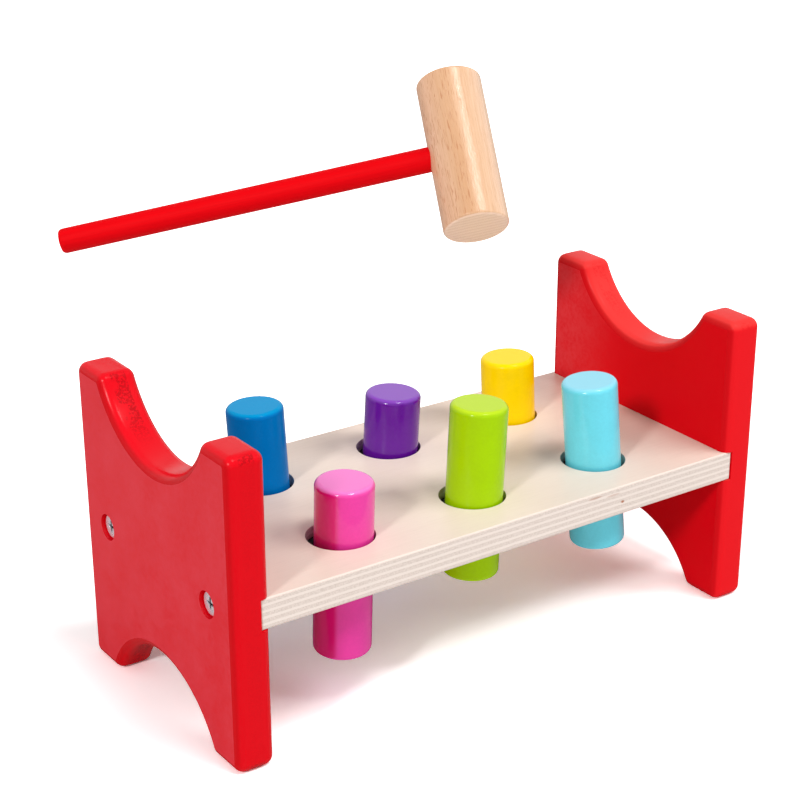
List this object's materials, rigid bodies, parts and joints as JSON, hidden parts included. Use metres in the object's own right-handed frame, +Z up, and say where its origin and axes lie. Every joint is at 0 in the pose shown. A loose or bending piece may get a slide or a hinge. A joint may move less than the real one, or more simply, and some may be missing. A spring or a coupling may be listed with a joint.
{
  "type": "peg pounding bench",
  "caption": "Toy pounding bench: wooden end panels hold a board whose holes grip coloured round pegs, with a wooden mallet held above it.",
  "frame": {"origin": "on the surface that the bench stands on, under the middle of the bench", "axes": "+X along the bench towards its right end panel, +Y towards the back, +Z up"},
  "size_m": [0.24, 0.1882, 0.2098],
  "materials": {
    "red_paint": "glossy red paint on plywood",
    "birch_ply": "clear satin varnish on birch plywood",
    "beech": "clear satin varnish on turned beech",
    "red_handle_paint": "satin red paint on a turned dowel",
    "blue_paint": "satin blue paint on a turned dowel",
    "purple_paint": "satin purple paint on a turned dowel",
    "yellow_paint": "satin yellow paint on a turned dowel",
    "pink_paint": "satin pink paint on a turned dowel",
    "lime_paint": "satin lime green paint on a turned dowel",
    "light_blue_paint": "satin light blue paint on a turned dowel",
    "grip_rubber": "matt black rubber",
    "zinc": "bright zinc plating"
  },
  "bodies": {
    "bench": {"left_end_panel": "red_paint", "right_end_panel": "red_paint", "peg_board": "birch_ply", "blue_peg_ring": "grip_rubber", "purple_peg_ring": "grip_rubber", "yellow_peg_ring": "grip_rubber", "pink_peg_ring": "grip_rubber", "lime_peg_ring": "grip_rubber", "light_blue_peg_ring": "grip_rubber", "left_front_screw": "zinc", "left_back_screw": "zinc", "right_front_screw": "zinc", "right_back_screw": "zinc"},
    "blue_peg": {"blue_peg": "blue_paint"},
    "purple_peg": {"purple_peg": "purple_paint"},
    "yellow_peg": {"yellow_peg": "yellow_paint"},
    "pink_peg": {"pink_peg": "pink_paint"},
    "lime_peg": {"lime_peg": "lime_paint"},
    "light_blue_peg": {"light_blue_peg": "light_blue_paint"},
    "mallet": {"mallet_head": "beech", "mallet_handle": "red_handle_paint"}
  },
  "joints": [
    {"name": "blue_peg_slide", "type": "slide", "parent": "bench", "child": "blue_peg", "axis": [-0.0384, 0.0279, 0.9989], "range_m": [-0.0283, 0.0219]},
    {"name": "purple_peg_slide", "type": "slide", "parent": "bench", "child": "purple_peg", "axis": [0.0436, -0.0279, 0.9987], "range_m": [-0.0199, 0.0302]},
    {"name": "yellow_peg_slide", "type": "slide", "parent": "bench", "child": "yellow_peg", "axis": [-0.0331, 0.0227, 0.9992], "range_m": [-0.0223, 0.028]},
    {"name": "pink_peg_slide", "type": "slide", "parent": "bench", "child": "pink_peg", "axis": [0.0087, -0.0366, 0.9993], "range_m": [-0.0183, 0.032]},
    {"name": "lime_peg_slide", "type": "slide", "parent": "bench", "child": "lime_peg", "axis": [0.0454, -0.0087, 0.9989], "range_m": [-0.0342, 0.016]},
    {"name": "light_blue_peg_slide", "type": "slide", "parent": "bench", "child": "light_blue_peg", "axis": [-0.0749, 0.0384, 0.9965], "range_m": [-0.03, 0.0198]},
    {"name": "mallet_strike", "type": "slide", "parent": "bench", "child": "mallet", "axis": [-0.2492, -0.6434, -0.7238], "range_m": [-0.04, 0.028]}
  ]
}
